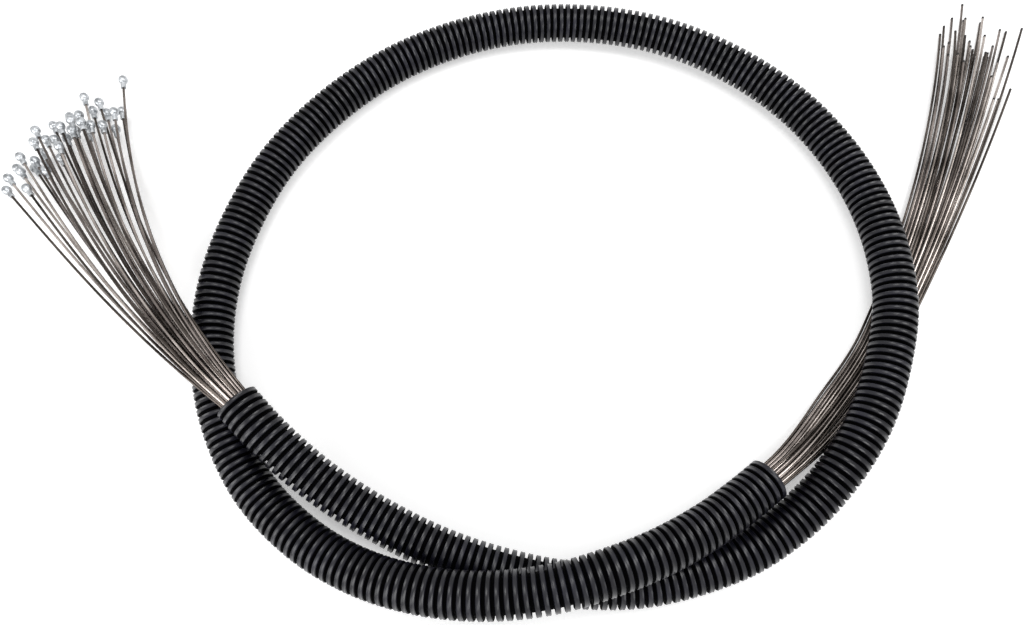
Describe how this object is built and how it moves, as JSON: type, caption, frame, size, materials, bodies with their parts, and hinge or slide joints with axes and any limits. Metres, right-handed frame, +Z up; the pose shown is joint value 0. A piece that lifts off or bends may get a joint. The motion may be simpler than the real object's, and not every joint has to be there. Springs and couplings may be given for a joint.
{
  "type": "bundle of bicycle brake inner cables in corrugated conduit",
  "caption": "Coiled corrugated tube threaded with steel brake inner cables, whose cast heads fan out of one mouth and whose plain tips fan out of the other.",
  "frame": {"origin": "under the middle of the bounding box, on the surface that the coil lies on", "axes": "+X along the longest extent, from the fan of heads to the fan of tips; +Y away from the viewer of the picture; +Z up, the shortest extent"},
  "size_m": [0.7058, 0.412, 0.0509],
  "materials": {
    "conduit": "satin moulded black polyethylene",
    "steel": "bright drawn stranded steel with cast heads"
  },
  "bodies": {
    "root": {"conduit": "conduit", "cable_01": "steel", "cable_02": "steel", "cable_03": "steel", "cable_04": "steel", "cable_05": "steel", "cable_06": "steel", "cable_07": "steel", "cable_08": "steel", "cable_09": "steel", "cable_10": "steel", "cable_11": "steel", "cable_12": "steel", "cable_13": "steel", "cable_14": "steel", "cable_15": "steel", "cable_16": "steel", "cable_17": "steel", "cable_18": "steel", "cable_19": "steel", "cable_20": "steel", "cable_21": "steel", "cable_22": "steel", "cable_23": "steel", "cable_24": "steel", "cable_25": "steel", "cable_26": "steel", "cable_27": "steel", "cable_28": "steel", "cable_29": "steel", "cable_30": "steel", "cable_31": "steel", "cable_32": "steel", "cable_33": "steel", "cable_34": "steel", "cable_35": "steel", "cable_36": "steel", "cable_37": "steel"}
  },
  "joints": []
}
